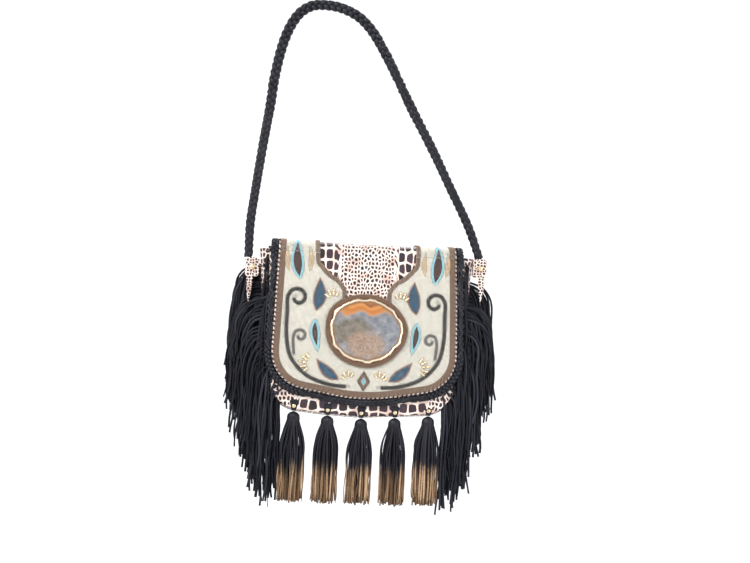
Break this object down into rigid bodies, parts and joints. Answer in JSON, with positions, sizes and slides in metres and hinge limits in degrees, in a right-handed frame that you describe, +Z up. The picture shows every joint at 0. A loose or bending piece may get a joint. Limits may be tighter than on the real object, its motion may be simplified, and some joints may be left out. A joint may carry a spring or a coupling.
{
  "type": "fringed shoulder bag",
  "caption": "Flap shoulder bag with a beaded flap, a stone slice, plaited edge lacing, a braided strap, side fringe and swinging front tassels.",
  "frame": {"origin": "the underside of the top of the strap's loop, where the strap lies on a shoulder or a hook", "axes": "+Z up, +Y towards the wearer and the flat back, -Y out of the flap's face, +X to the right as the flap is seen from the front"},
  "size_m": [0.4567, 0.0851, 0.8354],
  "materials": {
    "croc_leather": "cream and pink leather pressed in a scale pattern, the scales filled dark brown, satin",
    "black_leather": "soft black leather, satin",
    "tassel_leather": "soft black leather, its lower third rubbed with gold",
    "suede": "matt brown suede",
    "lining_cloth": "plain woven cloth",
    "gold_metal": "polished pale gold",
    "ivory_bead": "rows of ivory seed beads, glossy, with coloured motifs",
    "copper_bead": "rows of copper-brown seed beads, with a dull metal shine",
    "agate": "polished banded agate with a gilded rim"
  },
  "bodies": {
    "bag": {"front_panel": "croc_leather", "back_panel": "croc_leather", "gusset": "croc_leather", "lining": "lining_cloth", "snap_socket": "gold_metal", "strap_braid": "black_leather", "strap_sleeve_left": "croc_leather", "strap_sleeve_right": "croc_leather", "sleeve_stud_left": "gold_metal", "sleeve_stud_right": "gold_metal", "side_fringe_left_front": "black_leather", "side_fringe_left_middle": "black_leather", "side_fringe_left_back": "black_leather", "side_fringe_right_front": "black_leather", "side_fringe_right_middle": "black_leather", "side_fringe_right_back": "black_leather", "tassel_tab_1": "black_leather", "tassel_tab_2": "black_leather", "tassel_tab_3": "black_leather", "tassel_tab_4": "black_leather", "tassel_tab_5": "black_leather", "tassel_stud_1": "gold_metal", "tassel_stud_2": "gold_metal", "tassel_stud_3": "gold_metal", "tassel_stud_4": "gold_metal", "tassel_stud_5": "gold_metal"},
    "flap": {"flap_leather": "croc_leather", "flap_backing": "suede", "bead_panel": "ivory_bead", "bead_border": "copper_bead", "window_trim_left": "copper_bead", "window_trim_right": "copper_bead", "edge_lacing": "black_leather", "agate_slice": "agate", "agate_collar": "copper_bead", "snap_stud": "gold_metal"},
    "tassel_1": {"tassel_head_1": "black_leather", "tassel_strands_1": "tassel_leather"},
    "tassel_2": {"tassel_head_2": "black_leather", "tassel_strands_2": "tassel_leather"},
    "tassel_3": {"tassel_head_3": "black_leather", "tassel_strands_3": "tassel_leather"},
    "tassel_4": {"tassel_head_4": "black_leather", "tassel_strands_4": "tassel_leather"},
    "tassel_5": {"tassel_head_5": "black_leather", "tassel_strands_5": "tassel_leather"}
  },
  "joints": [
    {"name": "flap_hinge", "type": "hinge", "parent": "bag", "child": "flap", "pos_m": [0.092, 0.023, -0.396], "axis": [-1, 0, 0], "range_deg": [0, 82]},
    {"name": "tassel_swing_1", "type": "hinge", "parent": "bag", "child": "tassel_1", "pos_m": [-0.02, -0.04586, -0.665], "axis": [-1, 0, 0], "range_deg": [-25, 60]},
    {"name": "tassel_swing_2", "type": "hinge", "parent": "bag", "child": "tassel_2", "pos_m": [0.036, -0.04587, -0.6699], "axis": [-1, 0, 0], "range_deg": [-25, 60]},
    {"name": "tassel_swing_3", "type": "hinge", "parent": "bag", "child": "tassel_3", "pos_m": [0.092, -0.04588, -0.6729], "axis": [-1, 0, 0], "range_deg": [-25, 60]},
    {"name": "tassel_swing_4", "type": "hinge", "parent": "bag", "child": "tassel_4", "pos_m": [0.148, -0.04587, -0.6699], "axis": [-1, 0, 0], "range_deg": [-25, 60]},
    {"name": "tassel_swing_5", "type": "hinge", "parent": "bag", "child": "tassel_5", "pos_m": [0.204, -0.04586, -0.665], "axis": [-1, 0, 0], "range_deg": [-25, 60]}
  ]
}
